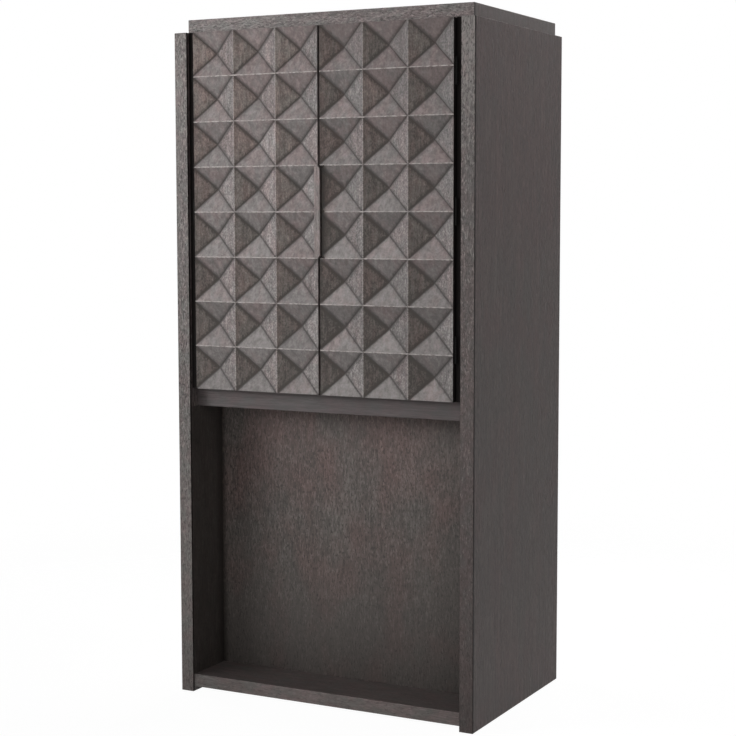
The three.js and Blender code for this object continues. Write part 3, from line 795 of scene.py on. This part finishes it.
def makePullLip():
    shape = fromNode("left_door_pull_lip")
    free = [vert for vert in shape.verts if vert.co.x > lipHigh.x - shaping["within"]]
    bmesh.ops.translate(shape, vec=(-doorBacks["lipEase"], 0, 0), verts=free)
    soften(shape, doorBacks["lipRound"], segments=3)
    markWear(shape)
    placePiece(shape, "left_door_pull_lip", "rounded", [lipOak])


makeDoorCore("left")
makeDoorCore("right")
makePullLip()
print("armoire: door cores and pull lip done")


# Turned metal and nylon: half outlines as (radius, distance along), spun round Z and then set in place
def turned(outline, ring=False, steps=28):
    shape = bmesh.new()
    points = [shape.verts.new((radius, 0, along)) for radius, along in outline]
    pairs = list(zip(points, points[1:])) + ([(points[-1], points[0])] if ring else [])
    edges = [shape.edges.new(pair) for pair in pairs]
    bmesh.ops.spin(shape, geom=points + edges, cent=(0, 0, 0), axis=(0, 0, 1), dvec=(0, 0, 0),
                   angle=2 * math.pi, steps=steps, use_merge=True)
    bmesh.ops.remove_doubles(shape, verts=shape.verts, dist=shaping["weld"] / 2)
    bmesh.ops.recalc_face_normals(shape, faces=shape.faces)
    for face in shape.faces:
        face.smooth = True
    for edge in shape.edges:
        edge.smooth = edge.calc_face_angle(0) < math.radians(35)
    return shape


def addTo(whole, part, matrix, finishIndex=0):
    spare = bpy.data.meshes.new("spare")
    part.to_mesh(spare)
    spare.transform(matrix)
    for face in spare.polygons:
        face.material_index = finishIndex
    whole.from_mesh(spare)
    bpy.data.meshes.remove(spare)


def turnTo(direction, centre, spin=0.0):
    facing = Vector(direction).to_track_quat("Z", "Y").to_matrix().to_4x4()
    return Matrix.Translation(centre) @ facing @ Matrix.Rotation(spin, 4, "Z")


def placeTurned(name, shape, matrix, finish):
    whole = bmesh.new()
    addTo(whole, shape, matrix)
    shape.free()
    placePiece(whole, name, "turned", [finish])


# Cross-head screws. The dome is given in shares of the head's radius and height.
screws = {"dome": ((0, 1), (0.45, 0.92), (0.8, 0.6), (1, 0)), "neck": 0.7, "neckLong": 0.0012, "steps": 20,
          "arm": 0.62, "armWidth": 0.17, "recess": 0.0006, "clear": 0.001}


def screwHead(radius, high):
    dome = [(share * radius, rise * high) for share, rise in screws["dome"]]
    neck = [(screws["neck"] * radius, -screws["neckLong"]), (0, -screws["neckLong"])]
    shape = turned(dome + neck, steps=screws["steps"])
    mesh = bpy.data.meshes.new("screwHead")
    shape.to_mesh(mesh)
    shape.free()
    head = bpy.data.objects.new("screwHead", mesh)
    scene.collection.objects.link(head)
    near, far = screws["armWidth"] * radius, screws["arm"] * radius
    plus = [(near, near), (near, far), (-near, far), (-near, near), (-far, near), (-far, -near),
            (-near, -near), (-near, -far), (near, -far), (near, -near), (far, -near), (far, near)]
    carve(head, cutterFrom(plus, high - screws["recess"], high + screws["clear"]))
    cutHead = bmesh.new()
    cutHead.from_mesh(head.data)
    cutMesh = head.data
    bpy.data.objects.remove(head)
    bpy.data.meshes.remove(cutMesh)
    return cutHead


# Butt hinges: plates with rounded corners, round knuckles, a pin with a domed head and three screws
# to a leaf. Tongues join the knuckles to the plate, and reach lap into both.
hinges = {
    "number": 3, "knuckles": 5, "knuckleGap": 0.0004, "barrel": 0.0042, "bore": 0.00225, "chamfer": 0.0004,
    "plate": 0.0015, "corner": 0.004, "plateRound": 0.00025, "tongue": 0.0046, "lap": 0.0006, "steps": 32,
    "screws": 3, "screwHead": 0.0033, "headHigh": 0.00035, "screwTurns": (0.5, 1.3),
    "pinEnd": ((0, 0), (0.0012, 0.0003), (0.002, 0.001)), "pinHeadHigh": 0.002,
    "pinHead": ((0.002, 0), (0.0031, 0), (0.0034, 0.0004), (0.003128, 0.0012), (0.00204, 0.0018),
                (0, 0.002)),
}


# The back of the door leaf lies on the door's edge, and that of the frame leaf on the stile
def plateFaces(side, leaf, way):
    towardsPin = way if leaf == "door" else -way
    low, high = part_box(f"{side}_door_front" if leaf == "door" else f"{side}_hinge_stile")
    back = high.x if towardsPin > 0 else low.x
    return back, back + towardsPin * hinges["plate"]


def leafShape(low, high, side, leaf, head):
    way = 1 if side == "right" else -1
    pinLow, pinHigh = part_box(f"{side}_hinge_1_pin")
    pivot = Vector(((pinLow.x + pinHigh.x) / 2, low.y + hinges["barrel"], 0))
    back, face = plateFaces(side, leaf, way)
    plateLow, plateHigh = sorted((back, face))
    plateFront = pivot.y + hinges["tongue"]
    whole = boxShape((plateLow, plateFront, low.z), (plateHigh, high.y, high.z))
    end = high.y - shaping["within"]
    corners = [edge for edge in whole.edges if all(vert.co.y > end for vert in edge.verts)
               and abs(edge.verts[0].co.x - edge.verts[1].co.x) > hinges["plate"] / 2]
    roundEdges(whole, corners, hinges["corner"], segments=6, clamped=False)
    soften(whole, hinges["plateRound"], sharpest=40)
    pitch = (high.z - low.z) / hinges["knuckles"]
    inner, outer, rim = hinges["bore"], hinges["barrel"], hinges["chamfer"]
    for knuckle in range(0 if leaf == "frame" else 1, hinges["knuckles"], 2):
        bottom = low.z + knuckle * pitch + hinges["knuckleGap"] / 2
        top = bottom + pitch - hinges["knuckleGap"]
        barrel = turned([(inner, bottom), (outer - rim, bottom), (outer, bottom + rim), (outer, top - rim),
                         (outer - rim, top), (inner, top)], ring=True, steps=hinges["steps"])
        addTo(whole, barrel, Matrix.Translation(pivot))
        barrel.free()
        tongue = boxShape((plateLow, pivot.y + inner + hinges["lap"], bottom),
                          (plateHigh, plateFront + hinges["lap"], top))
        addTo(whole, tongue, Matrix())
        tongue.free()
    facing = (math.copysign(1, face - back), 0, 0)
    holeY = (plateFront + high.y) / 2
    firstTurn, nextTurn = hinges["screwTurns"]
    for hole in range(hinges["screws"]):
        holeZ = low.z + (hole + 0.5) * (high.z - low.z) / hinges["screws"]
        addTo(whole, head, turnTo(facing, (face, holeY, holeZ), firstTurn + nextTurn * hole), 1)
    return whole


def makeHingePin(name):
    low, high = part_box(name)
    top = high.z - hinges["pinHeadHigh"]
    outline = [(radius, low.z + along) for radius, along in hinges["pinEnd"]]
    outline += [(radius, top + along) for radius, along in hinges["pinHead"]]
    centre = ((low.x + high.x) / 2, (low.y + high.y) / 2, 0)
    placeTurned(name, turned(outline, steps=hinges["steps"]), Matrix.Translation(centre), blackSteel)


def makeHinges():
    head = screwHead(hinges["screwHead"], hinges["headHigh"])
    for side in ("left", "right"):
        for number in range(1, hinges["number"] + 1):
            stem = f"{side}_hinge_{number}"
            for leaf in ("door", "frame"):
                name = f"{stem}_{leaf}_leaf"
                shape = leafShape(*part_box(name), side, leaf, head)
                placePiece(shape, name, "screwed", [blackSteel, platedScrews])
            makeHingePin(f"{stem}_pin")
    head.free()


makeHinges()
print("armoire: hinges made")


# Shelf pins with a groove and a collar
shelfPins = {
    "start": ((0, 0), (0.0017, 0), (0.0025, 0.0008), (0.0025, 0.005), (0.0021, 0.0055), (0.0021, 0.0065),
              (0.0025, 0.007), (0.0025, 0.0083), (0.0048, 0.0083), (0.005, 0.0085), (0.005, 0.0088),
              (0.0048, 0.009), (0.0025, 0.009)),
    "end": ((0.0025, -0.0008), (0.0017, 0), (0, 0)),
}


def makeShelfPin(name, way):
    low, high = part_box(name)
    long = high.x - low.x
    outline = [*shelfPins["start"], *((radius, long + along) for radius, along in shelfPins["end"])]
    root = (low.x if way > 0 else high.x, (low.y + high.y) / 2, (low.z + high.z) / 2)
    placeTurned(name, turned(outline), turnTo((way, 0, 0), root), platedSteel)


# Nail-on glides
glides = {"outline": ((0, 0), (0.01, 0), (0.0107, 0.0003), (0.011, 0.001), (0.011, 0.0017), (0.003, 0.0017),
                      (0.003, 0.015), (0.002, 0.016), (0, 0.016))}


def makeGlide(name):
    low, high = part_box(name)
    centre = ((low.x + high.x) / 2, (low.y + high.y) / 2, 0)
    placeTurned(name, turned(glides["outline"]), Matrix.Translation(centre), blackNylon)


for side, way in (("left", -1), ("right", 1)):
    for level in ("lower", "upper"):
        for end in ("front", "rear"):
            makeShelfPin(f"{side}_{level}_shelf_{end}_pin", way)
    for end in ("front", "rear"):
        makeGlide(f"{side}_{end}_glide")
print("armoire: shelf pins and glides turned")


# Magnetic catches: a moulded body with two poles across its mouth, and a screwed strike plate
catches = {
    "round": 0.0015, "poleProud": 0.0012, "poleInset": 0.004, "poleBack": 0.011, "poleThick": 0.0012,
    "poleOffset": 0.0014, "poleRound": 0.0002, "screw": 0.0028, "screwHigh": 0.0006, "screwsApart": 0.013,
    "screwFromBack": 0.008, "screwTurn": 0.6, "strikeRound": 0.003, "strikeEase": 0.0003,
    "strikeScrewHigh": 0.0001,
}


def makeCatch(name, screw):
    low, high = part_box(name)
    middle = (low + high) / 2
    whole = boxShape((low.x, low.y + catches["poleProud"], low.z), high)
    soften(whole, catches["round"], segments=3)
    inset, half = catches["poleInset"], catches["poleThick"] / 2
    for way in (-1, 1):
        poleZ = middle.z + way * catches["poleOffset"]
        poleHigh = (high.x - inset, low.y + catches["poleBack"], poleZ + half)
        pole = boxShape((low.x + inset, low.y, poleZ - half), poleHigh)
        soften(pole, catches["poleRound"])
        addTo(whole, pole, Matrix(), 1)
        pole.free()
    for way in (-1, 1):
        spot = (middle.x + way * catches["screwsApart"], high.y - catches["screwFromBack"], low.z)
        addTo(whole, screw, turnTo((0, 0, -1), spot, way * catches["screwTurn"]), 1)
    placePiece(whole, name, "moulded", [blackNylon, platedSteel])


def makeStrikePlate(name, screw):
    low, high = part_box(name)
    middle = (low + high) / 2
    plate = fromNode(name)
    corners = [edge for edge in plate.edges
               if abs(edge.verts[0].co.y - edge.verts[1].co.y) > (high.y - low.y) / 2]
    roundEdges(plate, corners, catches["strikeRound"], segments=5, clamped=False)
    soften(plate, catches["strikeEase"], sharpest=40)
    for way in (-1, 1):
        spot = (middle.x + way * catches["screwsApart"], high.y, middle.z)
        addTo(plate, screw, turnTo((0, 1, 0), spot, way))
    placePiece(plate, name, "screwed", [platedSteel])


bodyScrew = screwHead(catches["screw"], catches["screwHigh"])
strikeScrew = screwHead(catches["screw"], catches["strikeScrewHigh"])
for side in ("left", "right"):
    makeCatch(f"{side}_magnetic_catch", bodyScrew)
    makeStrikePlate(f"{side}_strike_plate", strikeScrew)
bodyScrew.free()
strikeScrew.free()
print("armoire: catches made")


# The hinge stiles keep their imported mesh and are painted black; the black stands in for the shade in the
# reveals
for side in ("left", "right"):
    stile = nodes[f"{side}_hinge_stile"].data
    stile.materials.clear()
    stile.materials.append(blackShadePaint)
print("armoire: hinge stiles painted")


# Studio. The floor is read paler by the object's light than by the camera.
studio = {
    "floorRadius": 5.0, "fadeFrom": 1.6, "fadeTo": 3.4, "ambient": (0.0, 0.0, 0.0),
    "floorLit": (0.8, 0.8, 0.8), "floorSeen": (0.12, 0.12, 0.12), "floorGlow": 0.965,
    "lamps": {
        "key": {"place": (-2.1, -2.3, 2.05), "aim": (0.1, -0.3, 1.75), "size": (1.7, 1.5), "power": 15.8,
                "spread": 65},
        "fill": {"place": (2.4, -3.6, 1.9), "aim": (0.0, 0.0, 1.45), "size": (1.4, 1.4), "power": 7.6,
                 "spread": 110},
        "low": {"place": (-0.5, -3.0, 0.5), "aim": (-0.1, -0.12, 0.5), "size": (0.5, 0.5), "power": 0.9,
                "spread": 40},
        "right": {"place": (3.4, 0.9, 3.4), "aim": (0.4, 0.1, 1.6), "size": (1.6, 1.6), "power": 6.6,
                  "spread": 110},
        "left": {"place": (-3.4, 1.0, 2.4), "aim": (-0.5, 0.1, 1.2), "size": (1.6, 1.6), "power": 8.5,
                 "spread": 110},
        "back": {"place": (0.0, 3.6, 3.2), "aim": (0.0, 0.33, 1.3), "size": (2.2, 1.6), "power": 22.0,
                 "spread": 110},
    },
}


def whiteRays(tree):
    rays = addNode(tree, "ShaderNodeLightPath").outputs
    seen = maths(tree, "MAXIMUM", rays["Is Camera Ray"], rays["Is Glossy Ray"])
    return maths(tree, "MAXIMUM", seen, rays["Is Transmission Ray"])


def makeWorld():
    world = bpy.data.worlds.new("studioWorld")
    scene.world = world
    world.use_nodes = True
    tree = world.node_tree
    tree.nodes.clear()
    dim = addNode(tree, "ShaderNodeBackground", {"Color": (*studio["ambient"], 1), "Strength": 1.0})
    white = addNode(tree, "ShaderNodeBackground", {"Color": (1, 1, 1, 1), "Strength": 1.0})
    rays = whiteRays(tree)
    mixed = addNode(tree, "ShaderNodeMixShader", {0: rays, 1: dim.outputs[0], 2: white.outputs[0]})
    addNode(tree, "ShaderNodeOutputWorld", {"Surface": mixed.outputs[0]})


def makeFloor():
    finish, tree = blank("paleFloor")
    away = addNode(tree, "ShaderNodeVectorMath", {0: ownPlace(tree)}, operation="LENGTH").outputs["Value"]
    rays = whiteRays(tree)
    shade = tinted(tree, rays, studio["floorLit"], studio["floorSeen"])
    lit = addNode(tree, "ShaderNodeBsdfDiffuse", {"Color": shade})
    glow = addNode(tree, "ShaderNodeEmission", {
        "Color": (1, 1, 1, 1), "Strength": maths(tree, "MULTIPLY", rays, studio["floorGlow"])})
    both = addNode(tree, "ShaderNodeAddShader", {0: lit.outputs[0], 1: glow.outputs[0]})
    gone = addNode(tree, "ShaderNodeBsdfTransparent")
    fade = remap(tree, away, studio["fadeFrom"], studio["fadeTo"], smooth=True)
    faded = addNode(tree, "ShaderNodeMixShader", {0: fade, 1: both.outputs[0], 2: gone.outputs[0]})
    surfaceOut(tree, faded.outputs[0])
    shape = bmesh.new()
    bmesh.ops.create_circle(shape, cap_ends=True, segments=96, radius=studio["floorRadius"])
    mesh = bpy.data.meshes.new("studioFloor")
    shape.to_mesh(mesh)
    shape.free()
    mesh.materials.append(finish)
    floor = bpy.data.objects.new("studioFloor", mesh)
    scene.collection.objects.link(floor)


def makeLamps():
    for name, lamp in studio["lamps"].items():
        light = bpy.data.lights.new(name, "AREA")
        light.shape = "RECTANGLE"
        light.size, light.size_y = lamp["size"]
        light.energy = lamp["power"]
        light.spread = math.radians(lamp["spread"])
        stand = bpy.data.objects.new(name, light)
        scene.collection.objects.link(stand)
        stand.location = lamp["place"]
        facing = Vector(lamp["aim"]) - Vector(lamp["place"])
        stand.rotation_euler = facing.to_track_quat("-Z", "Y").to_euler()
        stand.visible_camera = False


# The photograph's viewing point, found from the corners of the case
photoView = {"place": (2.44232, -4.68093, 1.49294), "yaw": 0.48264, "pitch": 0.090839, "roll": -0.00162,
             "lens": 82.85, "sensor": 36.0, "farthest": 60.0}


def makeCamera():
    lens = bpy.data.cameras.new("photoView")
    lens.lens = photoView["lens"]
    lens.sensor_width = photoView["sensor"]
    lens.clip_end = photoView["farthest"]
    camera = bpy.data.objects.new("photoView", lens)
    scene.collection.objects.link(camera)
    camera.matrix_world = (Matrix.Translation(photoView["place"]) @ Matrix.Rotation(photoView["yaw"], 4, "Z")
                           @ Matrix.Rotation(math.pi / 2 - photoView["pitch"], 4, "X")
                           @ Matrix.Rotation(photoView["roll"], 4, "Z"))
    scene.camera = camera


makeWorld()
makeFloor()
makeLamps()
makeCamera()
scene.view_settings.view_transform = "Standard"
print("armoire: studio ready")
